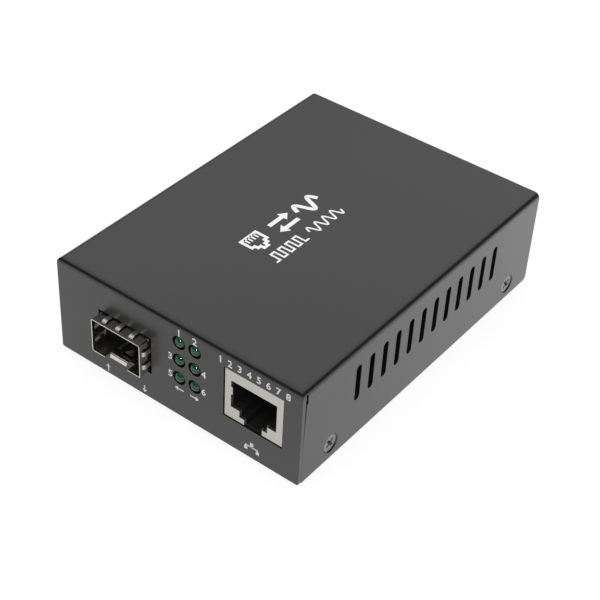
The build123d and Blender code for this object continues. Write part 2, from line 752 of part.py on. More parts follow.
# Network jack housing: a block with the stepped cavity, two board posts and a slot for the wires
housing_half_width = jack_width / 2 - jack_sheet - jack_fit
housing_top = jack_bottom + jack_height - jack_sheet
housing_front_y = jack_front_y + jack_sheet + jack_fit
housing_rear_y = jack_rear_y - jack_sheet - housing_rear_gap
wire_slot_z = jack_bottom + mouth_ceiling - wire_slot_drop
wire_z = wire_slot_z + wire_slot_height / 2
wire_front_z = jack_bottom + mouth_ceiling - cavity_inset - jack_wire_thickness
wire_down_y = housing_rear_y + jack_wire_drop_gap
wire_x = [jack_x + (step - (jack_wire_count - 1) / 2) * jack_wire_pitch for step in range(jack_wire_count)]
post_spots = [(jack_x + side * jack_post_spacing / 2, jack_front_y + jack_post_y) for side in (-1, 1)]
with BuildPart() as rj45_housing:
    with BuildSketch(Plane.XY.offset(jack_bottom)):
        with Locations((jack_x, (housing_front_y + housing_rear_y) / 2)):
            Rectangle(2 * housing_half_width, housing_rear_y - housing_front_y)
    extrude(amount=housing_top - jack_bottom)
    with BuildSketch(Plane.XY.offset(board_top)):
        with Locations((jack_x, (board_front_y + housing_rear_y) / 2)):
            Rectangle(2 * housing_half_width, housing_rear_y - board_front_y)
    extrude(amount=jack_bottom - board_top)
    with BuildSketch(Plane(origin=(jack_x, housing_front_y, 0), x_dir=(1, 0, 0), z_dir=(0, -1, 0))):
        make_face(jack_mouth(cavity_inset, jack_bottom + cavity_inset).edges())
    extrude(amount=-cavity_depth, mode=Mode.SUBTRACT)
    with BuildSketch(facing_front(housing_rear_y)):
        with Locations((jack_x, wire_z)):
            Rectangle(jack_wire_count * jack_wire_pitch, wire_slot_height)
    extrude(amount=housing_rear_y - housing_front_y - cavity_depth + jack_sheet, mode=Mode.SUBTRACT)
    with BuildSketch(Plane.XY.offset(board_top)):
        with Locations(*post_spots):
            Circle(jack_post_radius)
    extrude(amount=-board_thickness)
write(rj45_housing, "rj45_housing")

with BuildPart() as rj45_contacts:
    for x in wire_x:
        with BuildSketch(Plane.YZ.offset(x)):
            with BuildLine():
                Polyline((housing_front_y + jack_wire_start, wire_front_z),
                         (housing_front_y + jack_wire_slope_end, wire_z),
                         (wire_down_y, wire_z), (wire_down_y, board_bottom - solder_tail))
            trace(line_width=jack_wire_thickness)
        extrude(amount=jack_wire_width / 2, both=True)
write(rj45_contacts, "rj45_contacts")

# Lamps: one 3 mm lens each, and a holder for each column of three
with BuildPart() as lamp_form:
    with BuildSketch(Plane.XZ):
        with BuildLine():
            shoulder = lamp_length - lamp_radius
            Polyline((0, 0), (lamp_rim_radius, 0), (lamp_rim_radius, lamp_rim_height),
                     (lamp_radius, lamp_rim_height), (lamp_radius, shoulder))
            RadiusArc((lamp_radius, shoulder), (0, lamp_length), -lamp_radius)
            Line((0, lamp_length), (0, 0))
        make_face()
    revolve(axis=Axis.Z)

for side, x in zip(("left", "right"), lamp_x):
    for level, z in zip(lamp_levels, lamp_z):
        with BuildPart() as lamp:
            with Locations(facing_front(lamp_back_y)):
                with Locations((x, z)):
                    add(lamp_form.part)
        write(lamp, f"lamp_{side}_{level}")
    holder_half_width = (lamp_x[1] - lamp_x[0] - holder_gap) / 2
    holder_top = lamp_z[-1] + holder_cap
    with BuildPart() as lamp_holder:
        with BuildSketch(facing_front(holder_front_y)):
            with Locations((x, (board_top + holder_top) / 2)):
                Rectangle(2 * holder_half_width, holder_top - board_top)
        extrude(amount=-holder_depth)
        with BuildSketch(facing_front(holder_front_y)):
            with Locations(*[(x, z) for z in lamp_z]):
                Circle(lamp_radius + lamp_fit)
        extrude(amount=-holder_depth, mode=Mode.SUBTRACT)
        with BuildSketch(facing_front(holder_rear_y)):
            with Locations(*[(x, z) for z in lamp_z]):
                Circle(lamp_rim_radius + lamp_fit)
        extrude(amount=holder_rear_y - lamp_back_y + lamp_rim_height, mode=Mode.SUBTRACT)
    write(lamp_holder, f"lamp_holder_{side}")

lead_spots = [(x + side * lead_spacing / 2, z, bend_y) for x in lamp_x for side in (-1, 1)
              for z, bend_y in zip(lamp_z, lead_bend_y)]
with BuildPart() as lamp_leads:
    for x, z, bend_y in lead_spots:
        with BuildSketch(Plane.YZ.offset(x)):
            with BuildLine():
                Polyline((lamp_back_y, z), (bend_y, z), (bend_y, board_bottom - solder_tail))
            trace(line_width=lead_thickness)
        extrude(amount=lead_thickness / 2, both=True)
write(lamp_leads, "lamp_leads")

# Power jack housing: a block with a round collar that reaches through the rear panel
spring_start_y = power_nose_y + power_spring_inset
spring_end_y = spring_start_y + power_spring_run
spring_tail_y = spring_start_y + power_spring_sheet / 2
channel_floor = power_z - power_bore_radius - power_channel_depth
spring_floor_z = channel_floor + power_spring_sheet / 2
with BuildPart() as power_jack_housing:
    with BuildSketch(Plane.XY.offset(board_top)):
        with Locations((power_x, (power_nose_y + power_back_y) / 2)):
            Rectangle(power_width, power_depth)
    extrude(amount=power_height)
    chamfer(power_jack_housing.edges().group_by(Axis.Z)[-1].filter_by(Axis.Y), length=power_edge)
    with BuildSketch(facing_front(power_back_y)):
        with Locations((power_x, power_z)):
            Circle(power_collar_radius)
    extrude(amount=-(sheet + power_collar_gap))
    with BuildSketch(facing_front(rear_y)):
        with Locations((power_x, power_z)):
            Circle(power_bore_radius)
    extrude(amount=power_bore_depth, mode=Mode.SUBTRACT)
    # hole for the centre pin, channel and tail slot for the spring
    with BuildSketch(facing_front(power_nose_y)):
        with Locations((power_x, power_z)):
            Circle(power_root_radius + thread_gap)
    extrude(amount=-power_depth, mode=Mode.SUBTRACT)
    with BuildSketch(Plane.XY.offset(channel_floor)):
        with Locations((power_x, (spring_start_y + spring_end_y) / 2)):
            Rectangle(power_spring_width + 2 * slot_gap, power_spring_run + 2 * slot_gap)
    extrude(amount=power_bore_radius, mode=Mode.SUBTRACT)
    with BuildSketch(Plane.XY.offset(board_top)):
        with Locations((power_x, spring_tail_y)):
            Rectangle(power_spring_width + 2 * slot_gap, power_spring_sheet + 2 * slot_gap)
    extrude(amount=power_axis_rise, mode=Mode.SUBTRACT)
write(power_jack_housing, "power_jack_housing")

# its centre pin, riveted through the wall in front of the bore, with a flat tail into the board
with BuildPart() as power_jack_pin:
    with BuildSketch(facing_front(power_bore_end_y)):
        with Locations((power_x, power_z)):
            Circle(power_pin_radius)
    extrude(amount=-(power_bore_depth - power_pin_recess))
    fillet(power_jack_pin.edges().group_by(Axis.Y)[-1], radius=power_pin_radius / 2)
    with BuildSketch(facing_front(power_nose_y)):
        with Locations((power_x, power_z)):
            Circle(power_root_radius)
    extrude(amount=-(power_bore_end_y - power_nose_y))
    with BuildSketch(facing_front(power_nose_y)):
        with Locations((power_x, (power_z + power_plate_width / 2 + board_bottom - solder_tail) / 2)):
            Rectangle(power_plate_width, power_z + power_plate_width / 2 - board_bottom + solder_tail)
    extrude(amount=power_plate_sheet)
write(power_jack_pin, "power_jack_pin")

# its leaf spring, bowed into the bore from a channel below
with BuildPart() as power_jack_spring:
    with BuildSketch(Plane.YZ.offset(power_x)):
        with BuildLine():
            Polyline((spring_tail_y, board_bottom - solder_tail), (spring_tail_y, spring_floor_z),
                     (power_bore_end_y, spring_floor_z))
            ThreePointArc((power_bore_end_y, spring_floor_z),
                          ((power_bore_end_y + spring_end_y) / 2, spring_floor_z + power_spring_bow),
                          (spring_end_y, spring_floor_z))
        trace(line_width=power_spring_sheet)
    extrude(amount=power_spring_width / 2, both=True)
write(power_jack_spring, "power_jack_spring")


def chip_body(x, y, width, depth, height):
    """A plastic chip package just above the board, with bevelled top edges and a pin-one dimple."""
    with BuildPart() as body:
        with BuildSketch(Plane.XY.offset(board_top + chip_lift)):
            with Locations((x, y)):
                Rectangle(width, depth)
        extrude(amount=height)
        chamfer(body.edges().group_by(Axis.Z)[-1], length=chip_chamfer)
        with BuildSketch(Plane.XY.offset(board_top + chip_lift + height)):
            with Locations((x - width / 2 + chip_dot_inset, y - depth / 2 + chip_dot_inset)):
                Circle(chip_dot_radius)
        extrude(amount=-chip_dot_depth, mode=Mode.SUBTRACT)
    return body


def chip_leads(x, y, width, depth, height, turns, count, pitch, lead_width):
    """Sprung leads on the sides of a chip: out of the body, down, and along the board."""
    with BuildPart() as lead:
        with BuildSketch(Plane.XZ):
            with BuildLine():
                Polyline((0, chip_lift + height / 2), (chip_lead_shoulder, chip_lift + height / 2),
                         (chip_lead_shoulder + chip_lead_slope, chip_lead_sheet / 2),
                         (chip_lead_shoulder + chip_lead_slope + chip_lead_foot, chip_lead_sheet / 2))
            trace(line_width=chip_lead_sheet)
        extrude(amount=lead_width / 2, both=True)
    places = []
    for turn in turns:
        half = (width if turn in (0, 180) else depth) / 2
        for step in range(count):
            slide = Location((half, (step - (count - 1) / 2) * pitch, 0))
            places.append(Location((x, y, board_top), (0, 0, turn)) * slide)
    with BuildPart() as leads:
        with Locations(*places):
            add(lead.part)
    return leads


converter_place = (converter_x, converter_mid_y, converter_size, converter_size, converter_height)
converter_chip = chip_body(*converter_place)
write(converter_chip, "converter_chip")
converter_chip_leads = chip_leads(*converter_place, (0, 90, 180, 270), converter_lead_count,
                                  converter_lead_pitch, converter_lead_width)
write(converter_chip_leads, "converter_chip_leads")

transformer_place = (jack_x, transformer_mid_y, transformer_width, transformer_depth, transformer_height)
lan_transformer = chip_body(*transformer_place)
write(lan_transformer, "lan_transformer")
lan_transformer_leads = chip_leads(*transformer_place, (90, 270), transformer_lead_count,
                                   transformer_lead_pitch, transformer_lead_width)
write(lan_transformer_leads, "lan_transformer_leads")

controller_place = (side_lane_x, front_y + controller_y, controller_width, controller_depth,
                    controller_height)
poe_controller = chip_body(*controller_place)
write(poe_controller, "poe_controller")
poe_controller_leads = chip_leads(*controller_place, (0, 180), controller_lead_count,
                                  controller_lead_pitch, package_lead_width)
write(poe_controller_leads, "poe_controller_leads")

memory_place = (side_lane_x, front_y + memory_y, memory_width, memory_depth, memory_height)
memory_chip = chip_body(*memory_place)
write(memory_chip, "memory_chip")
memory_chip_leads = chip_leads(*memory_place, (90, 270), memory_lead_count, memory_lead_pitch,
                               package_lead_width)
write(memory_chip_leads, "memory_chip_leads")

# Power transistor on its metal tab, with two leads
with BuildPart() as power_transistor:
    with BuildSketch(Plane.XY.offset(board_top + transistor_tab_sheet)):
        with Locations((transistor_x, power_row_y)):
            Rectangle(transistor_width, transistor_depth)
    extrude(amount=transistor_height - transistor_tab_sheet)
    chamfer(power_transistor.edges().group_by(Axis.Z)[-1], length=chip_chamfer)
write(power_transistor, "power_transistor")

with BuildPart() as power_transistor_tab:
    with BuildSketch(Plane.XY.offset(board_top)):
        with Locations((transistor_x, power_row_y + transistor_tab_reach / 2)):
            Rectangle(transistor_tab_width, transistor_depth + transistor_tab_reach)
    extrude(amount=transistor_tab_sheet)
write(power_transistor_tab, "power_transistor_tab")

transistor_lead_z = board_top + (transistor_height + transistor_tab_sheet) / 2
transistor_foot_z = board_top + transistor_tab_sheet / 2
transistor_lead_y = [power_row_y - transistor_depth / 2 - step * transistor_lead_step
                     for step in range(4)]
with BuildPart() as power_transistor_leads:
    for side in (-1, 1):
        with BuildSketch(Plane.YZ.offset(transistor_x + side * transistor_lead_pitch / 2)):
            with BuildLine():
                Polyline((transistor_lead_y[0], transistor_lead_z),
                         (transistor_lead_y[1], transistor_lead_z),
                         (transistor_lead_y[2], transistor_foot_z),
                         (transistor_lead_y[3], transistor_foot_z))
            trace(line_width=transistor_tab_sheet)
        extrude(amount=transistor_lead_width / 2, both=True)
write(power_transistor_leads, "power_transistor_leads")

# Storage capacitor: an upright can on two wires
storage_lead_spots = [(storage_x + side * storage_lead_spacing / 2, storage_mid_y) for side in (-1, 1)]
with BuildPart() as storage_capacitor:
    with BuildSketch(Plane.XY.offset(board_top)):
        with Locations((storage_x, storage_mid_y)):
            Circle(storage_radius)
    extrude(amount=storage_height)
    fillet(storage_capacitor.edges().group_by(Axis.Z)[0], radius=can_edge)
    fillet(storage_capacitor.edges().group_by(Axis.Z)[-1], radius=can_edge)
    with Locations((storage_x, storage_mid_y, board_top + storage_groove_rise)):
        Torus(storage_radius + storage_groove_radius / 2, storage_groove_radius, mode=Mode.SUBTRACT)
write(storage_capacitor, "storage_capacitor")

with BuildPart() as storage_capacitor_leads:
    with BuildSketch(Plane.XY.offset(board_top)):
        with Locations(*storage_lead_spots):
            Circle(storage_lead_radius)
    extrude(amount=-board_thickness - solder_tail)
write(storage_capacitor_leads, "storage_capacitor_leads")

# Two surface capacitors on square bases
output_spots = [(output_left_x, power_row_y), (output_right_x, power_row_y)]
with BuildPart() as output_capacitor_bases:
    with BuildSketch(Plane.XY.offset(board_top)):
        with Locations(*output_spots):
            Rectangle(output_base_size, output_base_size)
    extrude(amount=output_base_height)
    chamfer(output_capacitor_bases.edges().filter_by(Axis.Z).group_by(Axis.Y)[-1],
            length=output_base_chamfer)
write(output_capacitor_bases, "output_capacitor_bases")

with BuildPart() as output_capacitors:
    with BuildSketch(Plane.XY.offset(board_top + output_base_height)):
        with Locations(*output_spots):
            Circle(output_radius)
    extrude(amount=output_height)
    fillet(output_capacitors.edges().group_by(Axis.Z)[-1], radius=can_edge)
write(output_capacitors, "output_capacitors")

# Ferrite inductors
with BuildPart() as power_inductor:
    with BuildSketch(Plane.XY.offset(board_top)):
        with Locations((inductor_x, power_row_y)):
            RectangleRounded(inductor_size, inductor_size, inductor_corner)
    extrude(amount=inductor_height)
    with BuildSketch(Plane.XY.offset(board_top + inductor_height)):
        with Locations((inductor_x, power_row_y)):
            Circle(inductor_ring_radius)
            Circle(inductor_ring_radius - inductor_ring_width, mode=Mode.SUBTRACT)
    extrude(amount=-inductor_ring_depth, mode=Mode.SUBTRACT)
write(power_inductor, "power_inductor")

with BuildPart() as filter_inductor:
    with BuildSketch(Plane.XY.offset(board_top)):
        with Locations((filter_x, power_row_y)):
            RectangleRounded(filter_size, filter_size, filter_corner)
    extrude(amount=filter_height)
    chamfer(filter_inductor.edges().group_by(Axis.Z)[-1], length=chip_chamfer)
write(filter_inductor, "filter_inductor")

# Clock crystal: a flat metal can with a flange
with BuildPart() as clock_crystal:
    with BuildSketch(Plane.XY.offset(board_top)):
        with Locations((lamp_mid_x, crystal_mid_y)):
            SlotOverall(crystal_length, crystal_width, rotation=90)
    extrude(amount=crystal_flange_height)
    with BuildSketch(Plane.XY.offset(board_top + crystal_flange_height)):
        with Locations((lamp_mid_x, crystal_mid_y)):
            SlotOverall(crystal_length - 2 * crystal_flange, crystal_width - 2 * crystal_flange,
                        rotation=90)
    extrude(amount=crystal_height - crystal_flange_height)
    fillet(clock_crystal.edges().group_by(Axis.Z)[-1], radius=crystal_flange)
write(clock_crystal, "clock_crystal")

# Surge diode with a folded terminal at each end
with BuildPart() as surge_diode:
    with BuildSketch(Plane.XY.offset(board_top + diode_terminal_sheet)):
        with Locations((diode_x, diode_mid_y)):
            Rectangle(diode_length, diode_width)
    extrude(amount=diode_height)
    chamfer(surge_diode.edges().group_by(Axis.Z)[-1], length=chip_chamfer)
write(surge_diode, "surge_diode")

diode_terminal_z = board_top + diode_terminal_sheet + diode_height / 2
with BuildPart() as surge_diode_terminals:
    for side in (-1, 1):
        outer_x = diode_x + side * (diode_length + diode_terminal_sheet) / 2
        with BuildSketch(Plane(origin=(0, diode_mid_y, 0), x_dir=(1, 0, 0), z_dir=(0, -1, 0))):
            with BuildLine():
                Polyline((outer_x, diode_terminal_z), (outer_x, board_top + diode_terminal_sheet / 2),
                         (outer_x - side * diode_terminal_tuck, board_top + diode_terminal_sheet / 2))
            trace(line_width=diode_terminal_sheet)
        extrude(amount=diode_terminal_width / 2, both=True)
write(surge_diode_terminals, "surge_diode_terminals")

# Small chip capacitors on both sides of the converter chip, and a row of chip resistors
passive_steps = [(step - (passive_count - 1) / 2) * passive_pitch for step in range(passive_count)]
with BuildPart() as chip_capacitors:
    with BuildSketch(Plane.XY.offset(board_top)):
        for side in (-1, 1):
            with Locations(*[(converter_x + side * passive_ring, converter_mid_y + shift)
                             for shift in passive_steps]):
                Rectangle(passive_width, passive_length)
    extrude(amount=passive_height)
write(chip_capacitors, "chip_capacitors")

with BuildPart() as chip_resistors:
    with BuildSketch(Plane.XY.offset(board_top)):
        with Locations(*[(jack_x + (step - (row_count - 1) / 2) * row_pitch, row_mid_y)
                         for step in range(row_count)]):
            Rectangle(passive_width, passive_length)
    extrude(amount=passive_height)
write(chip_resistors, "chip_resistors")

# Circuit board, with a hole for everything that passes through it
with BuildPart() as circuit_board:
    with BuildSketch(Plane.XY.offset(board_bottom)):
        with Locations((0, (board_front_y + board_rear_y) / 2)):
            Rectangle(2 * board_half_width, board_rear_y - board_front_y)
        with Locations(*standoff_spots):
            Circle(board_hole_radius, mode=Mode.SUBTRACT)
        with Locations(*cage_pin_spots):
            Circle(pin_hole_radius, mode=Mode.SUBTRACT)
        with Locations(*post_spots):
            Circle(jack_post_radius + jack_fit, mode=Mode.SUBTRACT)
        with Locations(*shield_tab_spots):
            SlotOverall(shield_tab_width + 2 * slot_gap, jack_sheet + 2 * slot_gap, rotation=90,
                        mode=Mode.SUBTRACT)
        with Locations(*[(x, wire_down_y) for x in wire_x]):
            Circle(wire_hole_radius, mode=Mode.SUBTRACT)
        with Locations(*[(x, bend_y) for x, z, bend_y in lead_spots], *storage_lead_spots):
            Circle(lead_hole_radius, mode=Mode.SUBTRACT)
        with Locations((power_x, power_nose_y - power_plate_sheet / 2)):
            SlotOverall(power_plate_width + 3 * slot_gap, power_plate_sheet + 2 * slot_gap,
                        mode=Mode.SUBTRACT)
        with Locations((power_x, spring_tail_y)):
            SlotOverall(power_spring_width + 3 * slot_gap, power_spring_sheet + 2 * slot_gap,
                        mode=Mode.SUBTRACT)
    extrude(amount=board_thickness)
write(circuit_board, "circuit_board")
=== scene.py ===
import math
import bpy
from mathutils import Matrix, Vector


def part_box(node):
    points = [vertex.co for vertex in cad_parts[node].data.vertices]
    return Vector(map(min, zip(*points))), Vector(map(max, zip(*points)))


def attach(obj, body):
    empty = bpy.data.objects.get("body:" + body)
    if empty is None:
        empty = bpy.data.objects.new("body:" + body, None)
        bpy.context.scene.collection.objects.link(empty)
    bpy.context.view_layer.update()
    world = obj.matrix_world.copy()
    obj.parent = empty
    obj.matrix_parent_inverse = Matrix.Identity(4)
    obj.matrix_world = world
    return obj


bl_info = {
    "name": "Fibre Media Converter",
    "version": (1, 0, 0),
    "blender": (4, 5, 0),
    "location": "3D View > Sidebar > Converter",
    "description": "Finishes, prints and small parts of a black steel media converter, on its packed solids",
    "category": "Object",
}

import bpy
import numpy as np
from bpy.props import FloatProperty, FloatVectorProperty, PointerProperty
from mathutils import Vector

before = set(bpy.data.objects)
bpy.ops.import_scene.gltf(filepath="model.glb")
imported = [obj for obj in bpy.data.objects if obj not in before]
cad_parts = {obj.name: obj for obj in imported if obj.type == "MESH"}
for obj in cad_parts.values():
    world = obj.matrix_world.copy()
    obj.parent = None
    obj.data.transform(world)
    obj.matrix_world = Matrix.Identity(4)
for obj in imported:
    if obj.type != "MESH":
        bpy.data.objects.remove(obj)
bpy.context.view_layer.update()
MM = 0.001

# How much noise is drawn out along each axis: a small number draws it out far
EVEN = (1.0, 1.0, 1.0)
ALONG_DEPTH = (1.0, 0.03, 1.0)

LAMPS = [f"lamp_{side}_{level}" for side in ("left", "right") for level in ("top", "middle", "bottom")]
FEET = [f"foot_{end}_{side}" for end in ("front", "rear") for side in ("left", "right")]


# Sizes and colours

class CaseFinish(bpy.types.PropertyGroup):
    """Paint of the steel box, and its rubber feet"""
    paint: FloatVectorProperty(name="Paint", description="Colour of the black powder coat", subtype="COLOR",
                               default=(0.008, 0.008, 0.008), min=0.0, max=1.0)
    paint_roughness: FloatProperty(name="Paint roughness", description="Satin level of the powder coat",
                                   default=0.3, min=0.0, max=1.0)
    paint_skin: FloatProperty(name="Paint skin", description="Gloss of the powder coat's clear skin",
                              default=0.4, min=0.0, max=1.0)
    grain_size: FloatProperty(name="Grain", description="Width of one grain of the powder coat",
                              unit="LENGTH", default=0.5 * MM)
    grain_height: FloatProperty(name="Grain height", description="Height of the grain", unit="LENGTH",
                                default=0.0015 * MM)
    rubber: FloatVectorProperty(name="Rubber", description="Colour of the feet", subtype="COLOR",
                                default=(0.02, 0.02, 0.02), min=0.0, max=1.0)
    screw: FloatVectorProperty(name="Screws", description="Colour of the screws' dark nickel plate",
                               subtype="COLOR", default=(0.3, 0.3, 0.305), min=0.0, max=1.0)


class MetalFinish(bpy.types.PropertyGroup):
    """Plated sheet metal of the two ports"""
    nickel: FloatVectorProperty(name="Nickel", description="Colour of the module cage and its springs",
                                subtype="COLOR", default=(0.66, 0.64, 0.58), min=0.0, max=1.0)
    shield: FloatVectorProperty(name="Shield", description="Colour of the network jack's shield",
                                subtype="COLOR", default=(0.585, 0.575, 0.52), min=0.0, max=1.0)
    gold: FloatVectorProperty(name="Gold", description="Colour of the gold-plated contacts", subtype="COLOR",
                              default=(0.62, 0.45, 0.18), min=0.0, max=1.0)
    tin: FloatVectorProperty(name="Tin", description="Colour of tinned leads and solder", subtype="COLOR",
                             default=(0.7, 0.71, 0.72), min=0.0, max=1.0)
    streak_width: FloatProperty(name="Streaks", description="Width of one rolling streak in the sheet",
                                unit="LENGTH", default=0.12 * MM)


class LampFinish(bpy.types.PropertyGroup):
    """Green indicator lamps"""
    green: FloatVectorProperty(name="Green", description="Colour of the clear green lens", subtype="COLOR",
                               default=(0.008, 0.075, 0.038), min=0.0, max=1.0)
    clearness: FloatProperty(name="Clearness", description="How far light passes through the lens",
                             default=0.55, min=0.0, max=1.0)


class PrintSizes(bpy.types.PropertyGroup):
    """White print on the box"""
    ink: FloatVectorProperty(name="Ink", description="Colour of the white print", subtype="COLOR",
                             default=(0.9, 0.9, 0.89), min=0.0, max=1.0)
    film: FloatProperty(name="Film", description="How far the printed film stands above the paint",
                        unit="LENGTH", default=0.003 * MM)
    mark_height: FloatProperty(name="Mark height", description="Height of the small marks on the front",
                               unit="LENGTH", default=1.9 * MM)
    mark_stroke: FloatProperty(name="Mark stroke", description="Width of a line in the small marks",
                               unit="LENGTH", default=0.36 * MM)
    sign_length: FloatProperty(name="Sign length", description="Length of the sign printed on top",
                               unit="LENGTH", default=26.0 * MM)
    bold_height: FloatProperty(name="Bold row", description="Height of the sign's bold row", unit="LENGTH",
                               default=6.2 * MM)
    thin_height: FloatProperty(name="Thin row", description="Height of the sign's thin row", unit="LENGTH",
                               default=3.4 * MM)
    row_gap: FloatProperty(name="Row gap", description="Space between the sign's rows", unit="LENGTH",
                           default=2.0 * MM)
    bold_stroke: FloatProperty(name="Bold stroke", description="Width of a line in the bold row",
                               unit="LENGTH", default=1.15 * MM)
    thin_stroke: FloatProperty(name="Thin stroke", description="Width of a line in the thin row",
                               unit="LENGTH", default=0.5 * MM)


class StageSizes(bpy.types.PropertyGroup):
    """Floor, lights and camera"""
    camera_place: FloatVectorProperty(name="Camera", description="Place of the camera",
                                      subtype="TRANSLATION", unit="LENGTH",
                                      default=(0.160294, -0.223714, 0.231672), precision=5)
    camera_turn: FloatVectorProperty(name="Camera turn", description="Turn of the camera", subtype="EULER",
                                     default=(math.radians(50.54067), math.radians(-2.6229),
                                              math.radians(37.76103)))
    lens: FloatProperty(name="Lens", description="Focal length in millimetres on a 36 mm sensor",
                        default=88.29)
    key_level: FloatProperty(name="Key", description="Brightness of the large soft light behind the camera",
                             default=1.6, min=0.0)
    overhead_level: FloatProperty(name="Overhead", description="Brightness of the large soft light overhead",
                                  default=0.96, min=0.0)
    glint_level: FloatProperty(name="Glint", description="Brightness of the small light on the lamps alone",
                               default=170.0, min=0.0)
    fill_level: FloatProperty(name="Fill", description="Even light from all round", default=0.12, min=0.0)
    ceiling: FloatProperty(name="Ceiling", description="Brightness of the studio ceiling in reflections",
                           default=0.05, min=0.0)
    backdrop_top: FloatProperty(name="Backdrop", description="Height at which the backdrop is all ceiling",
                                default=0.13, min=0.0, max=1.0)
    paper: FloatProperty(name="Paper", description="Brightness of the floor to the camera",
                         default=0.88, min=0.0)
    # painted shade: the floor's glow seen in reflections is lowered near the box to stand for the box's
    # shade on the floor
    paper_painted_shade: FloatProperty(name="Paper nearby", description="Brightness of the near floor in reflections",
                              default=0.68, min=0.0)
    far_paper: FloatProperty(name="Paper far off", description="Brightness of the far floor in reflections",
                             default=1.12, min=0.0)


# Shader node groups and materials

def node_group(name, inputs, outputs):
    """A new shader node group with named sockets, given as (name, socket type, default)."""
    group = bpy.data.node_groups.new(name, "ShaderNodeTree")
    for label, kind, value in inputs:
        socket = group.interface.new_socket(name=label, in_out="INPUT", socket_type=kind)
        socket.default_value = value
    for label, kind in outputs:
        group.interface.new_socket(name=label, in_out="OUTPUT", socket_type=kind)
    return group, group.nodes.new("NodeGroupInput"), group.nodes.new("NodeGroupOutput")


def link(tree, source, target):
    tree.links.new(source, target)


def math_node(tree, operation, first, second=None):
    """One Math node, fed by sockets or plain numbers."""
    node = tree.nodes.new("ShaderNodeMath")
    node.operation = operation
    for place, value in enumerate((first, second)):
        if value is None:
            continue
        if isinstance(value, (int, float)):
            node.inputs[place].default_value = value
        else:
            link(tree, value, node.inputs[place])
    return node.outputs[0]


def grain_group():
    """Fine even grain with a slow drift of tone over it, as in powder coat or moulded plastic."""
    group, given, result = node_group(
        "Fine Grain",
        [("Size", "NodeSocketFloat", 0.3 * MM), ("Drift", "NodeSocketFloat", 0.05)],
        [("Height", "NodeSocketFloat"), ("Tone", "NodeSocketFloat")])
    place = group.nodes.new("ShaderNodeTexCoord")
    scale = math_node(group, "DIVIDE", 1.0, given.outputs["Size"])
    grain = group.nodes.new("ShaderNodeTexNoise")
    grain.inputs["Detail"].default_value = 2.0
    link(group, place.outputs["Object"], grain.inputs["Vector"])
    link(group, scale, grain.inputs["Scale"])
    # slow cloudy drift of tone, a few centimetres across
    drift = group.nodes.new("ShaderNodeTexNoise")
    drift.inputs["Scale"].default_value = 60.0
    drift.inputs["Detail"].default_value = 3.0
    link(group, place.outputs["Object"], drift.inputs["Vector"])
    centred = math_node(group, "SUBTRACT", drift.outputs["Fac"], 0.5)
    spread = math_node(group, "MULTIPLY", centred, given.outputs["Drift"])
    tone = math_node(group, "ADD", spread, 1.0)
    link(group, grain.outputs["Fac"], result.inputs["Height"])
    link(group, tone, result.inputs["Tone"])
    return group


def streak_group():
    """Rolling streaks of sheet metal: noise drawn out along one direction."""
    contrast = 0.3
    group, given, result = node_group(
        "Rolling Streaks",
        [("Width", "NodeSocketFloat", 0.1 * MM), ("Stretch", "NodeSocketVector", ALONG_DEPTH)],
        [("Height", "NodeSocketFloat"), ("Tone", "NodeSocketFloat")])
    place = group.nodes.new("ShaderNodeTexCoord")
    stretched = group.nodes.new("ShaderNodeVectorMath")
    stretched.operation = "MULTIPLY"
    link(group, place.outputs["Object"], stretched.inputs[0])
    link(group, given.outputs["Stretch"], stretched.inputs[1])
    scale = math_node(group, "DIVIDE", 1.0, given.outputs["Width"])
    streaks = group.nodes.new("ShaderNodeTexNoise")
    streaks.inputs["Detail"].default_value = 3.0
    link(group, stretched.outputs["Vector"], streaks.inputs["Vector"])
    link(group, scale, streaks.inputs["Scale"])
    centred = math_node(group, "SUBTRACT", streaks.outputs["Fac"], 0.5)
    tone = math_node(group, "ADD", math_node(group, "MULTIPLY", centred, contrast), 1.0)
    link(group, streaks.outputs["Fac"], result.inputs["Height"])
    link(group, tone, result.inputs["Tone"])
    return group


def shared(name, make):
    """A node group by name, made on first use."""
    return bpy.data.node_groups.get(name) or make()


def material(name):
    """An empty node material with its Principled shader: (material, tree, shader)."""
    made = bpy.data.materials.new(name)
    made.use_nodes = True
    tree = made.node_tree
    shader = tree.nodes["Principled BSDF"]
    return made, tree, shader


def toned(tree, colour, tone):
    """A colour lightened and darkened by a tone around 1."""
    mix = tree.nodes.new("ShaderNodeVectorMath")
    mix.operation = "SCALE"
    mix.inputs[0].default_value = colour
    link(tree, tone, mix.inputs["Scale"])
    return mix.outputs["Vector"]


def grained(name, colour, roughness, size, height, drift=0.08, metallic=0.0):
    """A surface with fine grain: paint, rubber or moulded plastic."""
    made, tree, shader = material(name)
    grain = tree.nodes.new("ShaderNodeGroup")
    grain.node_tree = shared("Fine Grain", grain_group)
    grain.inputs["Size"].default_value = size
    grain.inputs["Drift"].default_value = drift
    link(tree, toned(tree, colour, grain.outputs["Tone"]), shader.inputs["Base Color"])
    shader.inputs["Roughness"].default_value = roughness
    shader.inputs["Metallic"].default_value = metallic
    bump = tree.nodes.new("ShaderNodeBump")
    bump.inputs["Distance"].default_value = height
    link(tree, grain.outputs["Height"], bump.inputs["Height"])
    link(tree, bump.outputs["Normal"], shader.inputs["Normal"])
    return made


def powder_coat(name, colour, roughness, coat, size, height):
    """Satin powder coat: fine grain under a thin clear skin."""
    made = grained(name, colour, roughness, size, height)
    shader = made.node_tree.nodes["Principled BSDF"]
    shader.inputs["Coat Weight"].default_value = coat
    shader.inputs["Coat Roughness"].default_value = roughness
    return made


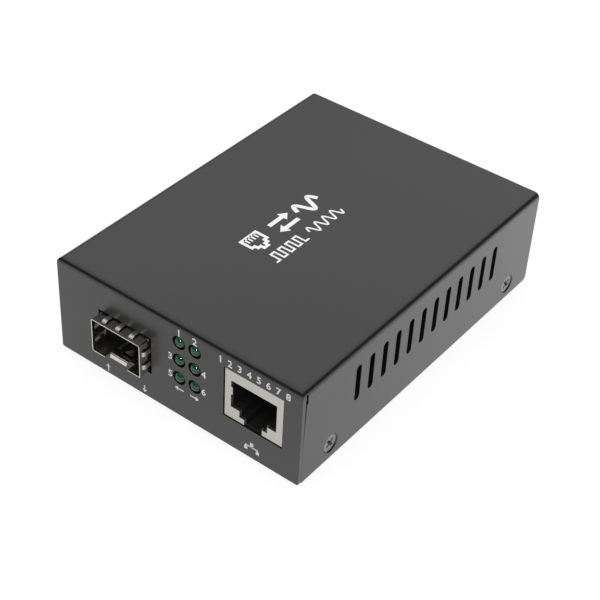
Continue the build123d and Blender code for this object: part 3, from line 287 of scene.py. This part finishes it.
def sheet_metal(name, colour, roughness, width, stretch):
    """Plated sheet metal with rolling streaks in its tone, roughness and height.

    A streak stands up by a small share of its width.
    """
    streak_share = 0.02
    made, tree, shader = material(name)
    streaks = tree.nodes.new("ShaderNodeGroup")
    streaks.node_tree = shared("Rolling Streaks", streak_group)
    streaks.inputs["Width"].default_value = width
    streaks.inputs["Stretch"].default_value = stretch
    link(tree, toned(tree, colour, streaks.outputs["Tone"]), shader.inputs["Base Color"])
    rough = math_node(tree, "MULTIPLY", streaks.outputs["Tone"], roughness)
    link(tree, rough, shader.inputs["Roughness"])
    shader.inputs["Metallic"].default_value = 1.0
    bump = tree.nodes.new("ShaderNodeBump")
    bump.inputs["Distance"].default_value = width * streak_share
    link(tree, streaks.outputs["Height"], bump.inputs["Height"])
    link(tree, bump.outputs["Normal"], shader.inputs["Normal"])
    return made


def dress(nodes, made):
    """Give CAD nodes a material."""
    for name in nodes:
        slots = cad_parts[name].data.materials
        slots.clear()
        slots.append(made)


# Flat signs: each is (points, faces), with points (n, 2) and faces counter-clockwise

def band(path, width):
    """A line of even width along a path of corners.

    Each corner moves to both sides along its bisector, by half the width over the cosine of half the turn.
    """
    path = np.asarray(path, float)
    steps = np.diff(path, axis=0)
    steps /= np.linalg.norm(steps, axis=1, keepdims=True)
    across = np.column_stack((-steps[:, 1], steps[:, 0]))
    before = np.vstack((across[:1], across))
    after = np.vstack((across, across[-1:]))
    bisector = before + after
    bisector /= np.linalg.norm(bisector, axis=1, keepdims=True)
    reach = 0.5 * width / np.sum(bisector * after, axis=1, keepdims=True)
    points = np.vstack((path + bisector * reach, path - bisector * reach))
    count = len(path)
    first = np.arange(count - 1)
    faces = np.column_stack((first + count, first + count + 1, first + 1, first))
    return points, faces.tolist()


def loop(path, width):
    """A line of even width round a closed path of corners, mitred as in band."""
    path = np.asarray(path, float)
    steps = np.roll(path, -1, axis=0) - path
    steps /= np.linalg.norm(steps, axis=1, keepdims=True)
    after = np.column_stack((-steps[:, 1], steps[:, 0]))
    bisector = after + np.roll(after, 1, axis=0)
    bisector /= np.linalg.norm(bisector, axis=1, keepdims=True)
    reach = 0.5 * width / np.sum(bisector * after, axis=1, keepdims=True)
    points = np.vstack((path + bisector * reach, path - bisector * reach))
    count = len(path)
    first = np.arange(count)
    following = np.roll(first, -1)
    faces = np.column_stack((first + count, following + count, following, first))
    return points, faces.tolist()


def patch(outline):
    """A filled outline, with its corners given counter-clockwise."""
    return np.asarray(outline, float), [list(range(len(outline)))]


def moved(shape, across, up):
    points, faces = shape
    return points + (across, up), faces


def joined(shapes):
    """Several flat shapes as one."""
    points = []
    faces = []
    count = 0
    for part_points, part_faces in shapes:
        points.append(part_points)
        faces += [[corner + count for corner in face] for face in part_faces]
        count += len(part_points)
    return np.vstack(points), faces


def numeral(text, height):
    """Upright numbers of a given height, centred on the origin, a little bolder than the font."""
    boldness = 0.025
    curve = bpy.data.curves.new("numeral", "FONT")
    curve.body = text
    curve.offset = boldness
    writer = bpy.data.objects.new("numeral", curve)
    mesh = bpy.data.meshes.new_from_object(writer)
    points = np.empty(len(mesh.vertices) * 3)
    mesh.vertices.foreach_get("co", points)
    points = points.reshape(-1, 3)[:, :2]
    faces = [list(face.vertices) for face in mesh.polygons]
    bpy.data.objects.remove(writer)
    bpy.data.curves.remove(curve)
    bpy.data.meshes.remove(mesh)
    low, high = points.min(axis=0), points.max(axis=0)
    return (points - (low + high) / 2) * height / (high[1] - low[1]), faces


def arrow(length, width, head):
    """A solid arrow that points to the right, centred on the origin: a bar of a given width and its head."""
    half, reach = width / 2, length / 2
    neck = reach - head
    barb = head * 0.72
    return patch([(-reach, -half), (neck, -half), (neck, -barb), (reach, 0.0), (neck, barb), (neck, half),
                  (-reach, half)])


def turned(shape, quarter_turns):
    """A flat shape turned about the origin by quarter turns, counter-clockwise."""
    points, faces = shape
    angle = quarter_turns * math.pi / 2
    turn = np.array([[math.cos(angle), math.sin(angle)], [-math.sin(angle), math.cos(angle)]])
    return points @ turn, faces


def network_sign(width, height, stroke):
    """Three solid boxes joined by lines, the usual sign for a wired network."""
    box = height * 0.36
    side = width / 2 - box / 2
    top, low = height / 2 - box / 2, -height / 2 + box / 2
    square = patch(np.array([(-1, -1), (1, -1), (1, 1), (-1, 1)]) * box / 2)
    boxes = [moved(square, across, up) for across, up in ((0, top), (-side, low), (side, low))]
    stem = band([(0, top - box / 2), (0, 0)], stroke)
    fork = band([(-side, low + box / 2), (-side, 0), (side, 0), (side, low + box / 2)], stroke)
    return joined(boxes + [stem, fork])


def jack_sign(size, stroke):
    """The stepped mouth of a network jack in outline, with its contacts as short bars at the top."""
    half = size / 2 - stroke / 2
    step = size * 0.16
    contact = size * 0.3
    contacts = np.linspace(-0.25, 0.25, 4) * size
    outline = [(-half, half), (-half, -half + 2 * step), (-half + step, -half + 2 * step),
               (-half + step, -half + step), (-half + 2 * step, -half + step), (-half + 2 * step, -half),
               (half - 2 * step, -half), (half - 2 * step, -half + step), (half - step, -half + step),
               (half - step, -half + 2 * step), (half, -half + 2 * step), (half, half)]
    return joined([loop(outline, stroke)]
                  + [band([(across, half), (across, half - contact)], stroke * 0.6) for across in contacts])


def wave_sign(length, height, stroke, humps):
    """A light wave: a sine with a given number of humps."""
    steps_per_hump = 24
    along = np.linspace(-length / 2, length / 2, steps_per_hump * humps + 1)
    up = (height - stroke) / 2 * np.sin(math.pi * humps * (along / length + 0.5))
    return band(np.column_stack((along, up)), stroke)


def pulse_sign(length, height, stroke, pulses):
    """A square wave with a given number of pulses."""
    edges = np.linspace(-length / 2, length / 2, 2 * pulses + 2)
    level = np.where(np.arange(2 * pulses + 1) % 2 == 0, -1.0, 1.0) * (height - stroke) / 2
    along = np.repeat(edges, 2)[1:-1]
    return band(np.column_stack((along, np.repeat(level, 2))), stroke)


def printed(name, shape, origin, right, up, film, made):
    """A flat shape as a thin film of ink on a face of the box, given the face's right and up directions."""
    flat, faces = shape
    right, up = np.array(right, float), np.array(up, float)
    outward = np.cross(right, up)
    points = np.array(origin) + flat[:, :1] * right + flat[:, 1:] * up + outward * film
    mesh = bpy.data.meshes.new(name)
    mesh.from_pydata(points.tolist(), [], faces)
    mesh.update()
    mesh.materials.append(made)
    piece = bpy.data.objects.new(name, mesh)
    bpy.context.scene.collection.objects.link(piece)
    depth = piece.modifiers.new("film", "SOLIDIFY")
    depth.thickness = film * 3
    depth.offset = -1.0
    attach(piece, "root")
    return piece


# Operators: one for each group of like pieces

class CONVERTER_OT_case(bpy.types.Operator):
    """Paint the cover and the base, and finish the screws and feet"""
    bl_idname = "converter.case"
    bl_label = "Steel Box"

    def execute(self, context):
        finish = context.scene.converter_case
        dress(["cover", "chassis_base"],
              powder_coat("black_powder_coat", finish.paint, finish.paint_roughness, finish.paint_skin,
                          finish.grain_size, finish.grain_height))
        dress(["cover_screws"], grained("black_screw", finish.screw, roughness=0.4, size=finish.grain_size,
                                        height=finish.grain_height, metallic=0.85))
        dress(FEET, grained("foot_rubber", finish.rubber, roughness=0.75, size=finish.grain_size,
                            height=finish.grain_height))
        return {"FINISHED"}


class CONVERTER_OT_ports(bpy.types.Operator):
    """Finish the module cage, the network jack and the power inlet"""
    bl_idname = "converter.ports"
    bl_label = "Ports"

    def execute(self, context):
        finish = context.scene.converter_metal
        streak = finish.streak_width
        dress(["sfp_cage"], sheet_metal("nickel", finish.nickel, roughness=0.26, width=streak,
                                        stretch=ALONG_DEPTH))
        dress(["sfp_spring_collar"], sheet_metal("spring_nickel", finish.nickel, roughness=0.42,
                                                 width=streak, stretch=ALONG_DEPTH))
        dress(["rj45_shield"], sheet_metal("jack_plate", finish.shield, roughness=0.4, width=streak,
                                           stretch=(0.4, 1.0, 1.0)))
        dress(["sfp_contacts", "rj45_contacts"],
              sheet_metal("gold_contact", finish.gold, roughness=0.2, width=streak, stretch=ALONG_DEPTH))
        dress(["power_jack_pin", "power_jack_spring"],
              sheet_metal("inlet_metal", finish.tin, roughness=0.25, width=streak, stretch=ALONG_DEPTH))
        dress(["sfp_connector", "rj45_housing", "power_jack_housing"],
              grained("black_plastic", (0.012, 0.012, 0.012), roughness=0.4, size=0.25 * MM,
                      height=0.003 * MM))
        return {"FINISHED"}


class CONVERTER_OT_lamps(bpy.types.Operator):
    """Finish the six green lamps, their holders and wires"""
    bl_idname = "converter.lamps"
    bl_label = "Lamps"

    def execute(self, context):
        finish = context.scene.converter_lamp
        made, tree, shader = material("lamp_lens")
        shader.inputs["Base Color"].default_value = (*finish.green, 1.0)
        shader.inputs["Roughness"].default_value = 0.06
        shader.inputs["Transmission Weight"].default_value = finish.clearness
        shader.inputs["IOR"].default_value = 1.52
        dress(LAMPS, made)
        dress(["lamp_holder_left", "lamp_holder_right"],
              grained("holder_plastic", (0.02, 0.02, 0.02), roughness=0.5, size=0.25 * MM,
                      height=0.003 * MM))
        dress(["lamp_leads"], sheet_metal("lamp_wire", context.scene.converter_metal.tin, roughness=0.3,
                                          width=0.1 * MM, stretch=(1.0, 1.0, 0.03)))
        return {"FINISHED"}


class CONVERTER_OT_board(bpy.types.Operator):
    """Finish the circuit board and everything soldered to it"""
    bl_idname = "converter.board"
    bl_label = "Circuit Board"

    def execute(self, context):
        tin = context.scene.converter_metal.tin
        dress(["circuit_board"], grained("solder_resist", (0.016, 0.11, 0.05), roughness=0.35,
                                         size=0.5 * MM, height=0.004 * MM))
        dress(["board_standoffs", "board_screws"],
              sheet_metal("zinc", tin, roughness=0.3, width=0.15 * MM, stretch=(1.0, 1.0, 0.05)))
        dress(["converter_chip", "lan_transformer", "poe_controller", "memory_chip", "power_transistor",
               "surge_diode", "chip_resistors"],
              grained("chip_black", (0.018, 0.018, 0.018), roughness=0.6, size=0.12 * MM,
                      height=0.004 * MM))
        dress(["converter_chip_leads", "lan_transformer_leads", "poe_controller_leads",
               "memory_chip_leads", "power_transistor_tab", "power_transistor_leads",
               "storage_capacitor_leads", "surge_diode_terminals"],
              sheet_metal("tinned_lead", tin, roughness=0.3, width=0.1 * MM, stretch=EVEN))
        dress(["power_inductor", "filter_inductor"],
              grained("ferrite", (0.05, 0.05, 0.054), roughness=0.7, size=0.2 * MM, height=0.01 * MM))
        dress(["storage_capacitor"], grained("capacitor_sleeve", (0.02, 0.02, 0.035), roughness=0.3,
                                             size=0.8 * MM, height=0.01 * MM))
        dress(["output_capacitors", "clock_crystal"],
              sheet_metal("capacitor_can", (0.78, 0.78, 0.79), roughness=0.32, width=0.1 * MM,
                          stretch=EVEN))
        dress(["output_capacitor_bases"], grained("base_plastic", (0.02, 0.02, 0.02), roughness=0.5,
                                                  size=0.2 * MM, height=0.004 * MM))
        dress(["chip_capacitors"], grained("chip_ceramic", (0.42, 0.3, 0.17), roughness=0.5,
                                           size=0.2 * MM, height=0.004 * MM))
        return {"FINISHED"}


class CONVERTER_OT_print(bpy.types.Operator):
    """Print the white marks on the front and the sign on top"""
    bl_idname = "converter.marks"
    bl_label = "Print"

    def execute(self, context):
        sizes = context.scene.converter_print
        ink = grained("white_ink", sizes.ink, roughness=0.5, size=0.15 * MM, height=0.001 * MM)
        low, high = (Vector(corner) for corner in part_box("cover"))
        printed("front_marks", self.front(sizes), (0.0, low.y, 0.0), (1, 0, 0), (0, 0, 1), sizes.film, ink)
        printed("top_sign", self.top(sizes), (0.0, 0.0, high.z), (0, 1, 0), (-1, 0, 0), sizes.film, ink)
        return {"FINISHED"}

    def front(self, sizes):
        """Numbers by the lamps and the jack's wires, and arrows and a network sign by the ports."""
        tall, stroke = sizes.mark_height, sizes.mark_stroke
        beside = 2.6 * MM
        above = 2.75 * MM
        shapes = []
        numbers = {"left": "135", "right": "246"}
        for side, way in (("left", -1), ("right", 1)):
            for level, number in zip(("top", "middle", "bottom"), numbers[side]):
                low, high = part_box(f"lamp_{side}_{level}")
                across, up = (low[0] + high[0]) / 2, (low[2] + high[2]) / 2
                if level == "top":
                    shapes.append(moved(numeral(number, tall), across, up + above))
                else:
                    shapes.append(moved(numeral(number, tall), across + way * beside, up))
            pointer = turned(arrow(tall * 1.35, stroke, tall * 0.5), 1 - way)
            shapes.append(moved(pointer, across, up - above - 0.5 * MM))
        shapes += self.jack_marks(tall, stroke)
        shapes += self.cage_marks(tall, stroke)
        return joined(shapes)

    def jack_marks(self, tall, stroke):
        """Wire numbers over the jack and a network sign under it."""
        low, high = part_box("rj45_shield")
        wires = 8
        middle = (low[0] + high[0]) / 2
        pitch = 2.6 * MM
        row = high[2] + 1.9 * MM
        marks = [moved(numeral(str(wire + 1), tall), middle + (wire - (wires - 1) / 2) * pitch, row)
                 for wire in range(wires)]
        marks.append(moved(network_sign(4.2 * MM, 2.6 * MM, stroke), middle, low[2] - 2.3 * MM))
        return marks

    def cage_marks(self, tall, stroke):
        """An arrow out and an arrow in under the two halves of the module cage."""
        low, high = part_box("sfp_cage")
        middle = (low[0] + high[0]) / 2
        spread = 5.6 * MM
        row = low[2] - 3.7 * MM
        sign = arrow(tall * 1.15, stroke, tall * 0.5)
        return [moved(turned(sign, 1), middle - spread, row), moved(turned(sign, 3), middle + spread, row)]

    def top(self, sizes):
        """A bold row that shows a jack, a change both ways and a light wave, and thin rows under it."""
        tall, thin = sizes.bold_height, sizes.thin_height
        length, stroke = sizes.sign_length, sizes.bold_stroke
        part = length * 0.27
        bar = arrow(part, stroke, stroke * 1.9)
        lift = tall * 0.27
        bold = [moved(jack_sign(tall, stroke * 0.7), tall / 2 - length / 2, 0.0), moved(bar, 0.0, lift),
                moved(turned(bar, 2), 0.0, -lift),
                moved(wave_sign(part * 1.1, tall * 0.9, stroke, 3), (length - part * 1.1) / 2, 0.0)]
        row = -(tall + thin) / 2 - sizes.row_gap
        pulses = moved(pulse_sign(length * 0.46, thin, sizes.thin_stroke, 4), -length * 0.27, row)
        waves = moved(wave_sign(length * 0.46, thin, sizes.thin_stroke, 8), length * 0.27, row)
        sign = joined([joined(bold), pulses, waves])
        return moved(sign, -1.7 * MM, 4.6 * MM)


def soft_light(name, direction, distance, size, level, shines=True):
    """A square soft light that looks at the object; its energy is its level times its area times pi."""
    lamp = bpy.data.lights.new(name, "AREA")
    lamp.shape = "SQUARE"
    lamp.size = size
    lamp.energy = level * math.pi * size ** 2
    obj = bpy.data.objects.new(name, lamp)
    toward = Vector(direction).normalized()
    obj.location = toward * distance
    obj.rotation_euler = (-toward).to_track_quat("-Z", "Y").to_euler()
    obj.visible_camera = False
    obj.visible_glossy = shines
    bpy.context.scene.collection.objects.link(obj)
    return obj


def seen_directly(tree):
    """1 for camera, glossy and transmission rays, and 0 for the light that falls on things."""
    path = tree.nodes.new("ShaderNodeLightPath")
    either = math_node(tree, "MAXIMUM", path.outputs["Is Camera Ray"], path.outputs["Is Glossy Ray"])
    return math_node(tree, "MAXIMUM", either, path.outputs["Is Transmission Ray"])


class CONVERTER_OT_stage(bpy.types.Operator):
    """Make the floor, the backdrop, the lights and the camera"""
    bl_idname = "converter.stage"
    bl_label = "Stage"

    def execute(self, context):
        sizes = context.scene.converter_stage
        scene = context.scene
        scene.view_settings.view_transform = "Standard"
        self.floor(sizes)
        self.world(scene, sizes)
        away = 1.1
        soft_light("key_light", (0.45, -0.63, 0.64), away, size=1.6, level=sizes.key_level, shines=False)
        soft_light("overhead_light", (-0.22, 0.22, 0.95), away, size=2.2,
                   level=sizes.overhead_level)
        # a small light that falls on the lamps alone, for the pin highlight in each lens
        glint = soft_light("glint", (0.25, -0.75, 0.6), away, size=0.12, level=sizes.glint_level)
        mirrors = bpy.data.collections.new("glint_mirrors")
        for name in LAMPS:
            mirrors.objects.link(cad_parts[name])
        glint.light_linking.receiver_collection = mirrors
        self.camera(scene, sizes)
        return {"FINISHED"}

    def camera(self, scene, sizes):
        camera = bpy.data.cameras.new("camera")
        camera.lens = sizes.lens
        camera.sensor_width = 36.0
        camera.clip_start = 0.01
        viewer = bpy.data.objects.new("camera", camera)
        viewer.location = sizes.camera_place
        viewer.rotation_euler = sizes.camera_turn
        scene.collection.objects.link(viewer)
        scene.camera = viewer

    def floor(self, sizes):
        """A pale floor under the feet that the camera sees as white, with the object's shadow on it."""
        half = 3.0
        points = [(-half, -half, 0.0), (half, -half, 0.0), (half, half, 0.0), (-half, half, 0.0)]
        mesh = bpy.data.meshes.new("floor")
        mesh.from_pydata(points, [], [(0, 1, 2, 3)])
        floor = bpy.data.objects.new("floor", mesh)
        bpy.context.scene.collection.objects.link(floor)
        made, tree, shader = material("floor_paper")
        shader.inputs["Base Color"].default_value = (0.15, 0.15, 0.15, 1.0)
        shader.inputs["Roughness"].default_value = 1.0
        shader.inputs["Specular IOR Level"].default_value = 0.0
        shader.inputs["Emission Color"].default_value = (1.0, 1.0, 1.0, 1.0)
        link(tree, self.floor_glow_with_painted_shade(tree, sizes), shader.inputs["Emission Strength"])
        mesh.materials.append(made)

    def floor_glow_with_painted_shade(self, tree, sizes):
        """White paper for the camera; in reflections it carries a painted shade, dimmer near the box's front
        where the box's shade would fall, and brighter far off.
        """
        # centre and reach of the painted shade on the floor, seen only in reflections
        painted_shade_centre = (-0.01, -0.06, 0.0)
        reach = 0.2
        place = tree.nodes.new("ShaderNodeTexCoord")
        apart = tree.nodes.new("ShaderNodeVectorMath")
        apart.operation = "DISTANCE"
        link(tree, place.outputs["Object"], apart.inputs[0])
        apart.inputs[1].default_value = painted_shade_centre
        spread = tree.nodes.new("ShaderNodeMapRange")
        for label, value in (("From Max", reach), ("To Min", sizes.paper_painted_shade), ("To Max", sizes.far_paper)):
            spread.inputs[label].default_value = value
        link(tree, apart.outputs["Value"], spread.inputs["Value"])
        ray = tree.nodes.new("ShaderNodeLightPath").outputs
        mirrored = math_node(tree, "MULTIPLY", ray["Is Glossy Ray"], spread.outputs["Result"])
        direct = math_node(tree, "MAXIMUM", ray["Is Camera Ray"], ray["Is Transmission Ray"])
        return math_node(tree, "ADD", mirrored, math_node(tree, "MULTIPLY", direct, sizes.paper))

    def world(self, scene, sizes):
        """A white backdrop that bends into a dark ceiling, where it is seen, and a dim even fill."""
        world = bpy.data.worlds.new("studio")
        world.use_nodes = True
        tree = world.node_tree
        sky = tree.nodes["Background"]
        sky.inputs["Color"].default_value = (1.0, 1.0, 1.0, 1.0)
        way = tree.nodes.new("ShaderNodeTexCoord")
        parts = tree.nodes.new("ShaderNodeSeparateXYZ")
        link(tree, way.outputs["Generated"], parts.inputs[0])
        bend = tree.nodes.new("ShaderNodeMapRange")
        bend.interpolation_type = "SMOOTHSTEP"
        for label, value in (("From Min", 0.0), ("From Max", sizes.backdrop_top), ("To Min", 1.0),
                             ("To Max", sizes.ceiling)):
            bend.inputs[label].default_value = value
        link(tree, parts.outputs["Z"], bend.inputs["Value"])
        seen = seen_directly(tree)
        unseen = math_node(tree, "MULTIPLY", math_node(tree, "SUBTRACT", 1.0, seen), sizes.fill_level)
        backdrop = math_node(tree, "MULTIPLY", seen, bend.outputs["Result"])
        strength = math_node(tree, "ADD", backdrop, unseen)
        link(tree, strength, sky.inputs["Strength"])
        scene.world = world


class CONVERTER_PT_panel(bpy.types.Panel):
    """Lists the steps that finish the converter"""
    bl_idname = "CONVERTER_PT_panel"
    bl_label = "Converter"
    bl_space_type = "VIEW_3D"
    bl_region_type = "UI"
    bl_category = "Converter"

    def draw(self, context):
        for step in STEPS:
            self.layout.operator(step.bl_idname)
        for name in PROPERTY_GROUPS:
            group = getattr(context.scene, name)
            box = self.layout.box()
            for field in group.__annotations__:
                box.prop(group, field)


PROPERTY_GROUPS = {"converter_case": CaseFinish, "converter_metal": MetalFinish,
                   "converter_lamp": LampFinish, "converter_print": PrintSizes,
                   "converter_stage": StageSizes}
STEPS = [CONVERTER_OT_case, CONVERTER_OT_ports, CONVERTER_OT_lamps, CONVERTER_OT_board, CONVERTER_OT_print,
         CONVERTER_OT_stage]
CLASSES = [*PROPERTY_GROUPS.values(), *STEPS, CONVERTER_PT_panel]


def register():
    for cls in CLASSES:
        bpy.utils.register_class(cls)
    for name, group in PROPERTY_GROUPS.items():
        setattr(bpy.types.Scene, name, PointerProperty(type=group))


def unregister():
    for name in PROPERTY_GROUPS:
        delattr(bpy.types.Scene, name)
    for cls in reversed(CLASSES):
        bpy.utils.unregister_class(cls)


def main():
    register()
    for step in STEPS:
        family, action = step.bl_idname.split(".")
        getattr(getattr(bpy.ops, family), action)()


if __name__ == "__main__":
    main()
